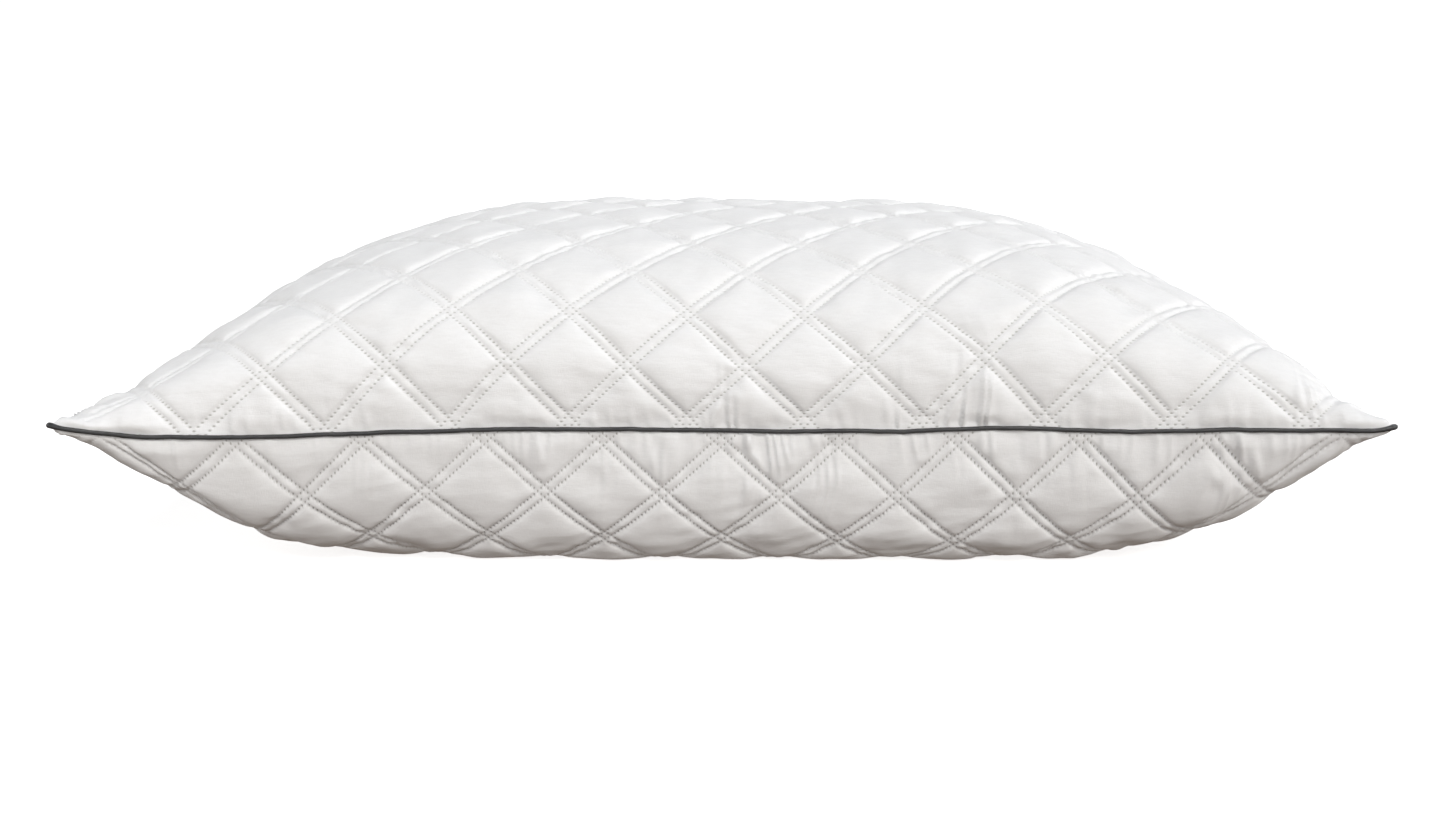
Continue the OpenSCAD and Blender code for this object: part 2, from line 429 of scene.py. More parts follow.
class Surface:
    """A smooth cubic surface through the form's grid, for any place on the cut."""

    def __init__(self, cut: Cut, points: Array) -> None:
        """Keeps the grid with a row added past each edge."""
        self.cut = cut
        wide = np.concatenate([2 * points[:1] - points[1:2], points, 2 * points[-1:] - points[-2:-1]], 0)
        self.grid = np.concatenate(
            [2 * wide[:, :1] - wide[:, 1:2], wide, 2 * wide[:, -1:] - wide[:, -2:-1]], 1
        )

    @staticmethod
    def weights(f: Array, slope: bool) -> list[Array]:
        """The four cubic B-spline weights at fraction f, or their slopes."""
        if slope:
            return [-((1 - f) ** 2) / 2, (3 * f * f - 4 * f) / 2, (-3 * f * f + 2 * f + 1) / 2, f * f / 2]
        middle = [(3 * f**3 - 6 * f * f + 4) / 6, (-3 * f**3 + 3 * f * f + 3 * f + 1) / 6]
        return [(1 - f) ** 3 / 6, *middle, f**3 / 6]

    def at(self, u: Array, v: Array) -> tuple[Array, Array]:
        """Points, and unit normals that face up, at places u, v on the cut."""
        gu = (u / self.cut.half_l + 1) / 2 * self.cut.steps_l
        gv = (v / self.cut.half_w + 1) / 2 * self.cut.steps_w
        iu = np.clip(np.floor(gu).astype(int), 0, self.cut.steps_l - 1)
        iv = np.clip(np.floor(gv).astype(int), 0, self.cut.steps_w - 1)
        wu, wv = self.weights(gu - iu, False), self.weights(gv - iv, False)
        su, sv = self.weights(gu - iu, True), self.weights(gv - iv, True)
        point = np.zeros(u.shape + (3,))
        along, across = np.zeros_like(point), np.zeros_like(point)
        for i in range(4):
            for j in range(4):
                knot = self.grid[iu + i, iv + j]
                point += (wu[i] * wv[j])[..., None] * knot
                along += (su[i] * wv[j])[..., None] * knot
                across += (wu[i] * sv[j])[..., None] * knot
        normal = np.cross(along, across)
        return point, normal / np.maximum(np.linalg.norm(normal, axis=-1), 1e-9)[..., None]


# ---- settling the casing


@dataclass
class ClothRest:
    """Settles the sewn casing on its fill, as cloth that keeps the lengths it was cut to."""

    frames: int = 16
    pressure: float = 2.2
    most_move: float = 11.0
    hold_rim: float = 1.0
    hold_panel: float = 0.10
    hold_seam: float = 0.05
    seam_reach: float = 30.0
    mass: float = 0.25
    tension: float = 14
    compression: float = 9
    shear: float = 4
    bending: float = 0.35

    def settle(self, cut: Cut, grids: dict[Side, Array]) -> dict[Side, Array]:
        """Runs Blender's cloth on both panels, sewn at the seam.

        Returns:
            Each panel's settled grid, no further than most_move from the grid on the smooth form.
        """
        s, t = cut.grid()
        numbers, rim = sewn_numbers(s.shape)
        total = int(numbers[Side.BOTTOM].max()) + 1
        points, flat, hold = np.zeros((total, 3)), np.zeros((total, 3)), np.zeros(total)
        from_rim = np.minimum((1 - np.abs(s)) * cut.half_l, (1 - np.abs(t)) * cut.half_w)
        near = np.clip(1 - from_rim / self.seam_reach, 0, 1)
        for side, grid in numbers.items():
            points[grid] = grids[side]
            flat[grid] = np.stack([s * cut.half_l, t * cut.half_w, 0 * s], -1)
            hold[grid] = np.where(rim, self.hold_rim, self.hold_panel + self.hold_seam * near)
        piece = new_mesh("casing_settling", points, sewn_faces(numbers))
        self.make_cloth(piece, flat, hold)
        scene = bpy.context.scene
        for frame_number in range(1, self.frames + 1):
            scene.frame_set(frame_number)
        settled = piece.evaluated_get(bpy.context.evaluated_depsgraph_get()).to_mesh()
        found = np.zeros(total * 3, np.float32)
        settled.vertices.foreach_get("co", found)
        scene.frame_set(1)
        bpy.data.objects.remove(piece)
        move = found.reshape(-1, 3) / MM - points
        far = np.linalg.norm(move, axis=1)
        LOG.info("cloth moved %.1f mm on average, %.1f mm at most", far.mean(), far.max())
        limit = self.most_move * np.tanh(far / self.most_move) / np.maximum(far, 1e-9)
        points = points + move * limit[:, None]
        return {side: points[grid] for side, grid in numbers.items()}

    def make_cloth(self, piece: Piece, flat: Array, hold: Array) -> None:
        """Makes the casing a cloth that wants back to its flat cut, and is held where hold is over 0."""
        piece.shape_key_add(name="Basis")
        key = piece.shape_key_add(name="cut")
        key.data.foreach_set("co", (flat * MM).astype(np.float32).ravel())
        key.value = 0.0
        group = piece.vertex_groups.new(name="hold")
        for weight in np.unique(hold):
            group.add(np.flatnonzero(hold == weight).tolist(), float(weight), "REPLACE")
        cloth = piece.modifiers.new("settle", "CLOTH")
        c = cloth.settings
        c.quality, c.mass, c.time_scale = 5, self.mass, 0.8
        c.tension_stiffness, c.compression_stiffness = self.tension, self.compression
        c.shear_stiffness, c.bending_stiffness = self.shear, self.bending
        c.air_damping = 2.0
        c.use_pressure, c.uniform_pressure_force = True, self.pressure
        c.effector_weights.gravity = 0.0
        c.vertex_group_mass, c.pin_stiffness = "hold", 0.6
        c.rest_shape_key = key
        cloth.collision_settings.use_collision = False
        cloth.collision_settings.use_self_collision = False
        cloth.point_cache.frame_start, cloth.point_cache.frame_end = 1, self.frames


# ---- quilting


@dataclass(frozen=True)
class Skew:
    """How far the quilted cloth was eased out of true when it was sewn and filled, in millimetres.

    shift and the two spreads move it along the length, the others across it. drop is even, spread is most
    between the middle and the ends, and slide is most halfway to the back. The rest grow towards the front,
    spread_front and tilt towards the ends as well, and sag towards both ends alike.
    """

    shift: float = 0.0
    spread: float = 0.0
    spread_front: float = 0.0
    drop: float = 0.0
    tilt: float = 0.0
    sag: float = 0.0
    slide: float = 0.0

    def __call__(self, cut: Cut, u: Array, v: Array) -> tuple[Array, Array]:
        """Moves places on the cut."""
        s, t = u / cut.half_l, v / cut.half_w
        front = (1 - t) / 2
        du = self.shift * front + self.spread * s * (1 - s * s) + self.spread_front * front**2 * s
        dv = self.drop + self.tilt * front * s + self.sag * front * s * s + self.slide * front * (1 - front)
        return u + du, v + dv


@dataclass
class Quilting:
    """Double-lined diamonds of bonded dots, on a lattice turned 45 degrees with two steps to a dot pitch."""

    cut: Cut
    steps_half_w: int = 256
    diamond: int = 34
    pair_half: int = 2
    centre: dict[Side, tuple[int, int]] = field(
        default_factory=lambda: {Side.TOP: (-133, -115), Side.BOTTOM: (-126, -126)}
    )
    skew: dict[Side, Skew] = field(
        default_factory=lambda: {
            Side.TOP: Skew(-3, -12, 24, -3, 4, -6, 7),
            Side.BOTTOM: Skew(-1, -8, 21, 3, 1, -8, -70),
        }
    )
    ridge_h: float = 1.0
    puff_h: float = 4.2
    puff_steep: float = 0.3
    dot_depth: float = 1.1
    bead_h: float = 0.6
    meet: float = 2.5
    spare: int = 24

    def __post_init__(self) -> None:
        """Works out the lattice's unit along and across the cut, and how many fit along it."""
        self.unit = self.cut.half_w / self.steps_half_w
        self.steps_half_l = round(self.cut.half_l / self.unit)
        self.step = self.unit * 2**0.5
        self.noise = ValueNoise(11)

    def lattice(self, stride: int = 1) -> tuple[Array, Array, Array]:
        """The lattice over the whole panel and a little past its edge, with a vertex every stride steps.

        Returns:
            The vertices' whole-number places m along and n across, and the four corners of each cell.
        """
        big_l = (self.steps_half_l + self.spare) // stride
        big_w = (self.steps_half_w + self.spare) // stride
        m, n = np.meshgrid(np.arange(-big_l, big_l + 1), np.arange(-big_w, big_w + 1), indexing="ij")
        on = (m + n) % 2 == 0
        number = np.full(m.shape, -1)
        number[on] = np.arange(int(on.sum()))
        padded = np.pad(number, 1, constant_values=-1)
        i, j = np.nonzero(~on)
        around = np.stack([padded[i + 2, j + 1], padded[i + 1, j + 2], padded[i, j + 1], padded[i + 1, j]], 1)
        return m[on] * stride, n[on] * stride, around[(around >= 0).all(axis=1)]

    def spread(self, side: Side, m: Array, n: Array) -> tuple[Array, Array]:
        """Steps from the middle of the nearest pair of lines, in each of the two directions."""
        half = self.diamond / 2
        i_mid, j_mid = self.centre[side]
        di = np.abs(((m + n) / 2 - i_mid + half) % self.diamond - half)
        dj = np.abs(((n - m) / 2 - j_mid + half) % self.diamond - half)
        return di, dj

    def swell(self, d: Array) -> Array:
        """Height over a bonded line at d steps from the middle of its pair."""
        out = np.clip(d - self.pair_half, 0, None) / (self.diamond / 2 - self.pair_half)
        wall, dome = 1 - np.exp(-out * 14), 1 - (1 - np.clip(out, 0, 1)) ** 2.4
        puff = self.puff_h * (self.puff_steep * wall + (1 - self.puff_steep) * dome)
        ridge = self.ridge_h * np.clip(1 - (d / self.pair_half) ** 2, 0, None) ** 0.8
        return np.where(d < self.pair_half, ridge, puff)

    def relief(self, side: Side, m: Array, n: Array) -> tuple[Array, Array]:
        """Height of the quilted face over its bonded lines.

        Returns:
            The height in millimetres, and how much of a bonded dot each place is, from 0 to 1.
        """
        di, dj = self.spread(side, m, n)
        hi, hj = self.swell(di) + 0.05, self.swell(dj) + 0.05
        both = (hi**-self.meet + hj**-self.meet) ** (-1 / self.meet)
        i_mid, j_mid = self.centre[side]
        odd_i = ((m + n) / 2 - i_mid) % 2 == 0
        odd_j = ((n - m) / 2 - j_mid) % 2 == 0
        line = (di == self.pair_half) | (dj == self.pair_half)
        dot = line & odd_i & odd_j
        uneven = 1 + 0.22 * self.noise(m / 43 + 7.3, n / 37 + 2.1) + 0.16 * self.noise(m / 17, n / 15 + 5)
        crinkle = 0.42 * self.noise(m / 7 + 3, n / 10) + 0.65 * self.noise(m / 13 + n / 6, n / 9 - m / 23)
        crinkle *= 0.4 + 0.6 * np.exp(-np.minimum(di, dj) / 5)
        crinkle += 1.6 * self.noise(m / 21 + 1.7, n / 19 + 4.1) * np.clip(both / self.puff_h, 0, 1)
        return both * uneven + crinkle + self.bead_h * (line & ~dot) - self.dot_depth * dot, dot.astype(float)


@dataclass
class Puckers:
    """The small folds that the gathered seam throws into both panels.

    gathers holds where folds bunch along the front: the place, the half width and the share of full depth.
    """

    cut: Cut
    width: float = 4.8
    reach: float = 24.0
    depth: float = 4.6
    gathers: dict[Side, tuple[tuple[float, float, float], ...]] = field(
        default_factory=lambda: {
            Side.TOP: ((2, 12, 0.8), (102, 8, 0.6), (145, 18, 1.0), (337, 14, 0.8)),
            Side.BOTTOM: (
                (-110, 10, 0.6), (-69, 8, 0.7), (-31, 14, 0.9), (15, 24, 1.0), (62, 12, 0.8), (173, 12, 0.8),
                (209, 10, 0.5), (296, 20, 0.9), (345, 12, 0.5),
            ),
        }
    )

    def relief(self, side: Side, u: Array, v: Array) -> Array:
        """Height of the folds at places on the cut, in millimetres."""
        noise, patches = ValueNoise(31 + side.value), ValueNoise(47 + side.value)
        from_short, from_long = self.cut.from_edges(u, v)
        total = np.zeros_like(u)
        for along, away, seed in ((u, from_long, 0.0), (v, from_short, 91.0)):
            end = np.sign(v if seed == 0 else u) * 57
            drift = along + 3.0 * noise(along / 31 + seed, away / 24 + end)
            folds = bell(noise(drift / self.width + seed, away / 40 + end), 0.28) - 0.4
            strong = smooth_step(-0.5, 0.6, patches(along / 21 + seed, end + away / 60))
            if seed == 0:
                strong *= 0.35 - 0.2 * np.sign(-v) * (side is Side.TOP)
                for place, half, share in self.gathers[side]:
                    strong = np.maximum(strong, share * bell(u - place, half) * (v < 0))
            reach = self.reach * (0.35 + 1.1 * strong)
            fade = np.exp(-((away / reach) ** 1.6)) * smooth_step(0, 4, away)
            total += self.depth * (0.2 + 0.8 * strong) * folds * fade
        return total


# ---- finishes


@dataclass(frozen=True)
class BrushedMicrofibre:
    """Polyester microfibre, plain woven and brushed: matt white, a faint bloom and an uneven, slubby weave.

    Each ultrasonic bond is a fused spot, where the cloth turns thin and grey; that grey is partly the fused
    cloth and partly painted shade, standing for the shadow in the bond's small dimple.
    """

    white: str = "#f1f2f3"
    shade: str = "#dddddd"
    # painted shade in part: the bonded dots' grey stands for the fused cloth and for the shadow in their small
    # dimples
    bond_grey_and_shade: str = "#bdbcba"
    thread_mm: float = 0.5
    slub_mm: float = 3.2

    def make(self) -> Material:
        """Builds the material. Threads are drawn at about twice their real gauge, so that they show."""
        matt = {"Roughness": 0.85, "Specular_IOR_Level": 0.2}
        material, tree, bsdf = new_material("brushed_microfibre", Sheen_Weight=0.12, Sheen_Roughness=0.5, **matt)
        ends = self.streaks(tree, self.thread_mm, self.thread_mm * 6)
        picks = self.streaks(tree, self.thread_mm * 6, self.thread_mm)
        slubs = self.streaks(tree, self.slub_mm * 2.5, self.slub_mm * 0.5)
        height = calc(tree, "MULTIPLY_ADD", slubs, 1.4, calc(tree, "ADD", ends, picks))
        weave = bump(tree, height, 0.28, 0.3)
        cloth = mix(tree, ramp(tree, height, 1.2, 2.2, 0.35, 0.0), self.white, self.shade)
        dot = add_node(tree, "Attribute", {"attribute_name": "dot"}).outputs["Fac"]
        pressed = bump(tree, ramp(tree, dot, 0.0, 0.9, 1.0, 0.0, kind="SMOOTHSTEP"), 0.6, 0.4, Normal=weave)
        # The bonded dots are painted greyer, partly for the fused cloth and partly as painted shade of their
        # dimples.
        spot = ramp(tree, dot, 0.3, 0.85, kind="SMOOTHSTEP")
        return dress(material, bsdf, mix(tree, spot, cloth, self.bond_grey_and_shade), pressed)

    @staticmethod
    def streaks(tree: Tree, along: float, across: float) -> Socket:
        """Noise on the cloth, drawn out to a length and a width in millimetres."""
        scale = (1 / (along * MM), 1 / (across * MM), 1)
        drawn = add_node(tree, "Mapping", None, Vector=on_cloth(tree), Scale=scale).outputs[0]
        return noise_field(tree, drawn, 1 / MM, 2.0)


@dataclass(frozen=True)
class PolyesterWadding:
    """Thermobonded polyester wadding: off-white and cloudy, all fine crossing hairs."""

    light: str = "#f3f0e9"
    dark: str = "#d9d4c8"
    tuft_mm: float = 6.0

    def make(self) -> Material:
        """Builds the material."""
        material, tree, bsdf = new_material("polyester_wadding", Roughness=0.95, Sheen_Weight=0.4)
        tufts = noise_field(tree, in_space(tree), self.tuft_mm, 6.0, 1.5)
        hairs = noise_field(tree, in_space(tree), self.tuft_mm / 6, 3.0, 3.0)
        return dress(material, bsdf, mix(tree, tufts, self.dark, self.light), bump(tree, hairs, 0.7, 0.8))


@dataclass(frozen=True)
class SpunbondBacking:
    """Spunbonded polypropylene: thin, slightly shiny non-woven with a fine embossed point pattern."""

    light: str = "#eeeeec"
    dark: str = "#cfcfcc"
    point_mm: float = 1.6
    web_mm: float = 1 / 0.7

    def make(self) -> Material:
        """Builds the material."""
        material, tree, bsdf = new_material("nonwoven_backing", Roughness=0.6, Specular_IOR_Level=0.4)
        scale = 1 / (self.point_mm * MM)
        cells = add_node(tree, "TexVoronoi", None, Vector=on_cloth(tree), Scale=scale, Randomness=0.0)
        web = noise_field(tree, on_cloth(tree), self.web_mm, 5.0, 2.0)
        height = calc(tree, "MULTIPLY_ADD", cells.outputs["Distance"], 2.0, web)
        return dress(material, bsdf, mix(tree, web, self.dark, self.light), bump(tree, height, 0.5, 0.3))


@dataclass(frozen=True)
class HollowFibre:
    """Siliconised hollow polyester fibre: bright, slippery and curly, in loose balls."""

    light: str = "#fbfaf6"
    dark: str = "#dcd8cf"
    curl_mm: float = 4.0

    def make(self) -> Material:
        """Builds the material."""
        material, tree, bsdf = new_material("hollow_fibre", Roughness=0.55, Sheen_Weight=0.5)
        curls = noise_field(tree, in_space(tree), self.curl_mm, 8.0, 4.0)
        return dress(material, bsdf, mix(tree, curls, self.dark, self.light), bump(tree, curls, 0.9, 2.0))


@dataclass(frozen=True)
class SateenStrip:
    """Charcoal sateen cut on the bias: smooth, softly shiny, with a fine slanting weave."""

    dark: str = "#2b2c2e"
    light: str = "#47484a"
    thread_mm: float = 0.45
    worn_mm: float = 1 / 0.18

    def make(self) -> Material:
        """Builds the material."""
        material, tree, bsdf = new_material(
            "grey_sateen_strip", Roughness=0.36, Specular_IOR_Level=0.6, Sheen_Weight=0.05
        )
        threads = slanting_threads(tree, self.thread_mm, 0.785, 0.6)
        tone = calc(tree, "MULTIPLY", threads, noise_field(tree, on_cloth(tree), self.worn_mm, 3.0))
        return dress(material, bsdf, mix(tree, tone, self.dark, self.light), bump(tree, threads, 0.4, 0.12))


@dataclass(frozen=True)
class Yarn:
    """Twisted yarn or thread: its plies show as fine slanting ridges along it."""

    name: str
    light: str
    dark: str
    ply_mm: float

    def make(self) -> Material:
        """Builds the material."""
        material, tree, bsdf = new_material(self.name, Roughness=0.6, Sheen_Weight=0.2)
        plies = slanting_threads(tree, self.ply_mm, 0.6, 0.3)
        ridges = bump(tree, plies, 0.8, self.ply_mm * 0.3)
        return dress(material, bsdf, mix(tree, plies, self.dark, self.light), ridges)


# ---- seam, tubes and stitches


class SeamLine:
    """The sewn seam round the casing: a closed line that starts at the middle of the back edge.

    along is each point's distance on the line, and from_tip its distance in plan from the nearest tip.
    """

    def __init__(self, cut: Cut, surface: Surface, spacing: float = 1.5) -> None:
        """Follows the rim that the panels share, softened at the tips, with points a spacing apart."""
        big_l, big_w = cut.half_l, cut.half_w
        tips = [(-big_l, big_w), (-big_l, -big_w), (big_l, -big_w), (big_l, big_w)]
        corners = np.array([(0, big_w), *tips, (0, big_w)])
        walked = np.concatenate([[0], np.cumsum(np.abs(np.diff(corners, axis=0)).sum(1))])
        along = np.arange(0, walked[-1], 1.0)
        rim, _ = surface.at(np.interp(along, walked, corners[:, 0]), np.interp(along, walked, corners[:, 1]))
        for _ in range(3):
            rim = (np.roll(rim, 1, 0) + 2 * rim + np.roll(rim, -1, 0)) / 4
        ring = np.vstack([rim, rim[:1]])
        length = np.concatenate([[0], np.cumsum(np.linalg.norm(np.diff(ring, axis=0), axis=1))])
        self.length = float(length[-1])
        self.count = int(self.length / spacing)
        self.along = np.arange(self.count) * self.length / self.count
        self.points = np.stack([np.interp(self.along, length, ring[:, k]) for k in range(3)], 1)
        ahead = np.roll(self.points, -2, 0) - np.roll(self.points, 2, 0)
        self.tangent = ahead / np.linalg.norm(ahead, axis=1)[:, None]
        out = np.cross(self.tangent, [0.0, 0.0, 1.0])
        self.out = out / np.linalg.norm(out, axis=1)[:, None]
        self.up = np.cross(self.out, self.tangent)
        corner = np.abs(self.points[:, :2]).max(0)
        self.from_tip = np.hypot(*(corner - np.abs(self.points[:, :2])).T)

    def shifted(self, out: Array | float, up: Array | float) -> Array:
        """The line moved outward and up."""
        return self.points + self.out * np.reshape(out, (-1, 1)) + self.up * np.reshape(up, (-1, 1))

    def at(self, along: Array) -> tuple[Array, Array, Array, Array]:
        """Points, tangents, outward and upward directions at distances along the line."""
        k = np.round(along / self.length * self.count).astype(int) % self.count
        return self.points[k], self.tangent[k], self.out[k], self.up[k]


def tube(path: Array, out: Array, up: Array, radius: Callable[[Array, Array], Array], sides: int) -> tuple:
    """Sweeps a round section along a closed path.

    Args:
        path: the path's points.
        out: the section's first direction at each point.
        up: its second direction.
        radius: radius from the distance along the path and the angle round it.
        sides: how many points go round.

    Returns:
        Points, places on the flat strip and faces, for new_mesh.
    """
    steps = np.linalg.norm(path - np.roll(path, 1, 0), axis=1)
    along, angle = np.meshgrid(np.cumsum(steps), np.arange(sides) * 2 * np.pi / sides, indexing="ij")
    r = radius(along, angle)
    ring = (np.cos(angle) * r)[..., None] * out[:, None] + (np.sin(angle) * r)[..., None] * up[:, None]
    points = (path[:, None] + ring).reshape(-1, 3)
    number = np.arange(len(points)).reshape(len(path), sides)
    ahead, around = np.roll(number, -1, 0), np.roll(number, -1, 1)
    quads = np.stack([number, ahead, np.roll(ahead, -1, 1), around], -1).reshape(-1, 4)
    return points, np.stack([along.ravel(), (angle * r).ravel()], 1), quads[:, ::-1]


@dataclass(frozen=True)
class StitchRow:
    """A row of equal stitches along the seam, each a short thread that dips into the cloth at its ends."""

    out: float
    up: float
    pitch: float = 3.0
    long: float = 2.5
    radius: float = 0.2
    slant: float = 0.0
    rings: int = 6
    sides: int = 6

    def make(self, seam: SeamLine, where: Callable[[Array], Array]) -> tuple[Array, Array, Array]:
        """Makes the row along a seam, with a stitch at the points that where picks.

        Returns:
            Points, places along and round the thread, and faces.
        """
        marks = np.arange(0, seam.length - self.pitch, self.pitch)
        point, tangent, out, up = seam.at(marks)
        kept = where(point)
        point, tangent, out, up = point[kept], tangent[kept], out[kept], up[kept]
        centre = point + out * self.out + up * self.up
        rise = up * np.sign(self.up)
        t = np.linspace(-1, 1, self.rings)
        axis = tangent + out * self.slant
        dip = rise[:, None] * (0.5 * t**4)[:, None]
        line = centre[:, None] + axis[:, None] * (t * self.long / 2)[:, None] - dip
        angle = np.arange(self.sides) * 2 * np.pi / self.sides
        fat = self.radius * (1 - 0.5 * t**6)
        ring = np.cos(angle)[:, None, None, None] * out + np.sin(angle)[:, None, None, None] * rise
        points = line[..., None, :] + fat[:, None, None] * np.moveaxis(ring, (0, 2), (2, 0))
        count = len(line) * self.rings * self.sides
        number = np.arange(count).reshape(len(line), self.rings, self.sides)
        near, far = number[:, :-1], number[:, 1:]
        quads = np.stack([near, far, np.roll(far, -1, 2), np.roll(near, -1, 2)], -1).reshape(-1, 4)
        flat = np.stack(np.meshgrid(t * self.long / 2, angle * self.radius, indexing="ij"), -1)
        cut = np.broadcast_to(flat, (len(line), *flat.shape))
        return points.reshape(-1, 3), cut.reshape(-1, 2), quads


# ---- sub-assemblies


@dataclass
class Casing:
    """The two quilted panels, each a face fabric, a wadding and a backing bonded at the dots.

    The relief fades out over seam_fade to the seam. Near the tips it and the folds are calmer, and the cloth
    stands up as ears. The plies under the face end an inset short of the seam.
    """

    form: Form
    quilting: Quilting
    puckers: Puckers
    surfaces: dict[Side, Surface]
    bond_depth: float = 2.0
    face_t: float = 0.9
    backing_t: float = 0.3
    bonded_wadding_t: float = 0.8
    rim_gap: float = 0.35
    inset: float = 4.0
    seam_fade: float = 9.0
    calm: float = 0.8
    calm_folds: float = 0.6
    slack: float = 2.0
    slack_reach: float = 25.0
    floor_gap: float = 0.06
    ears: dict[Side, float] = field(default_factory=lambda: {Side.TOP: 4.6, Side.BOTTOM: 2.2})
    tip_reach: float = 30.0
    fold_hold: float = 0.65

    def layers(self, side: Side, stride: int, depths: Sequence[tuple[float, float]]) -> tuple:
        """Quilted surfaces of one panel, on the lattice.

        Args:
            side: the panel.
            stride: lattice steps between vertices.
            depths: for each surface, its depth under the outer one at a bond, and the share of the relief by
                which it falls away from the outer one.

        Returns:
            A list of point arrays, the places on the cut, the faces and the bonded dots' marks.
        """
        m, n, faces = self.quilting.lattice(stride)
        cut, skew, unit = self.form.cut, self.quilting.skew[side], self.quilting.unit
        u, v = skew(cut, m * unit, n * unit)
        short = 0.0 if stride == 1 else self.inset
        end, side_edge = cut.half_l - short, cut.half_w - short
        past_end, past_side = np.abs(u) >= end, np.abs(v) >= side_edge
        faces = faces[~(past_end[faces].all(axis=1) | past_side[faces].all(axis=1))]
        used, faces = np.unique(faces, return_inverse=True)
        m, n, faces = m[used], n[used], faces.reshape(-1, 4)
        u, v = np.clip(u[used], -end, end), np.clip(v[used], -side_edge, side_edge)
        point, normal = self.surfaces[side].at(u, v)
        normal *= side.value
        high, dot = self.quilting.relief(side, m, n)
        for a, b in NEIGHBOURS if stride > 1 else ():
            high = np.minimum(high, self.quilting.relief(side, m + a, n + b)[0])
        from_end, from_side = cut.from_edges(u, v)
        away = np.minimum(from_end, from_side)
        full = smooth_step(0.0, self.seam_fade, away)
        tip = bell(np.hypot(from_end, from_side), self.tip_reach)
        lift = (high * (1 - self.calm * tip) - self.bond_depth) * full
        if stride == 1:
            clear = np.minimum(*self.quilting.spread(side, m, n)) - self.quilting.pair_half
            folds = self.puckers.relief(side, u, v) * (1 - self.calm_folds * tip)
            lift += folds * (1 - self.fold_hold * (1 - smooth_step(0, 5, clear)))
        else:
            lift -= self.slack * np.exp(-away / self.slack_reach)
        lift += self.ears[side] * tip * smooth_step(0, 4.5, away)
        found = []
        for depth, share in depths:
            under = (depth + share * high * full) * smooth_step(-2.0, 4.0, away)
            shown = point + normal * (lift - under)[:, None]
            shown[:, 2] += side.value * self.rim_gap * (1 - smooth_step(0, 2, away))
            if side is Side.BOTTOM:
                floor = self.floor_gap + under * 0.5
                low = shown[:, 2] - floor
                shown[:, 2] = floor + np.where(low > 2, low, 2 * np.exp(np.minimum(low, 2) / 2 - 1))
            found.append(shown)
        faces = faces if side is Side.TOP else faces[:, ::-1]
        return found, np.stack([u, v], 1), faces, dot * (away > 0.5) * (1 - self.calm * tip)

    def build(self, side: Side, microfibre: Material, fibre: Material, web: Material) -> None:
        """Makes one panel, with the finishes of its face, its wadding and its backing."""
        word = side.name.lower()
        (outer,), cut, faces, dot = self.layers(side, 1, [(0.0, 0.0)])
        face = new_mesh(f"{word}_face_panel", outer, faces, cut, {"dot": dot})
        place_piece(face, microfibre, "brushed_microfibre", f"{word}_face_fabric")
        under = self.face_t + self.bonded_wadding_t
        depths = [(self.face_t, 0.03), (under, 1.25), (under + self.backing_t, 1.3)]
        (upper, lower, inner), cut, faces, _ = self.layers(side, 2, depths)
        wadding = self.closed_layer(f"{word}_wadding_layer", upper, lower, cut, faces)
        place_piece(wadding, fibre, "polyester_wadding", f"{word}_wadding")
        backing = new_mesh(f"{word}_backing_sheet", inner, faces, cut)
        place_piece(backing, web, "nonwoven_backing", f"{word}_backing")

    @staticmethod
    def closed_layer(name: str, upper: Array, lower: Array, cut: Array, faces: Array) -> Piece:
        """A layer with thickness: two surfaces on the same lattice and a wall round their rim."""
        count = len(upper)
        edges = np.stack([faces, np.roll(faces, -1, 1)], -1).reshape(-1, 2)
        ahead, back = edges[:, 0] * count + edges[:, 1], edges[:, 1] * count + edges[:, 0]
        rim = edges[~np.isin(ahead, back)]
        wall = np.stack([rim[:, 1], rim[:, 0], rim[:, 0] + count, rim[:, 1] + count], 1)
        quads = np.concatenate([faces, faces[:, ::-1] + count, wall])
        return new_mesh(name, np.vstack([upper, lower]), quads, np.vstack([cut, cut]))


@dataclass
class Filling:
    """The loose fibre fill, one lumpy body inside the panels."""

    cut: Cut
    surfaces: dict[Side, Surface]
    steps: tuple[int, int] = (230, 156)
    reach: tuple[float, float] = (0.972, 0.958)
    inside: float = 9.5
    lump: float = 1.6

    def build(self, finish: Material) -> None:
        """Makes the fill as one closed body."""
        half_l, half_w = self.reach[0] * self.cut.half_l, self.reach[1] * self.cut.half_w
        s, t = (np.sin(np.linspace(-1, 1, n + 1) * np.pi / 2) for n in self.steps)
        u, v = np.meshgrid(s * half_l, t * half_w, indexing="ij")
        away = np.minimum(half_l - np.abs(u), half_w - np.abs(v))
        noise = ValueNoise(71)
        layers = {}
        for side, surface in self.surfaces.items():
            point, normal = surface.at(u, v)
            lumps = noise(u / 17 + 5 * side.value, v / 17) + 0.5 * noise(u / 7, v / 7 + 9 * side.value)
            under = self.inside + self.lump * (1 + lumps) / 2
            layers[side] = point - normal * side.value * (under * smooth_step(-16, 8, away))[..., None]
            layers[side][..., 2] = np.maximum(layers[side][..., 2], self.inside)
        numbers, rim = sewn_numbers(u.shape)
        layers[Side.TOP][rim] = ((layers[Side.TOP] + layers[Side.BOTTOM]) / 2)[rim]
        points = np.vstack([layers[Side.TOP].reshape(-1, 3), layers[Side.BOTTOM][~rim]])
        fill = new_mesh("fibre_filling", points, sewn_faces(numbers))
        place_piece(fill, finish, "hollow_fibre", "fibre_fill")


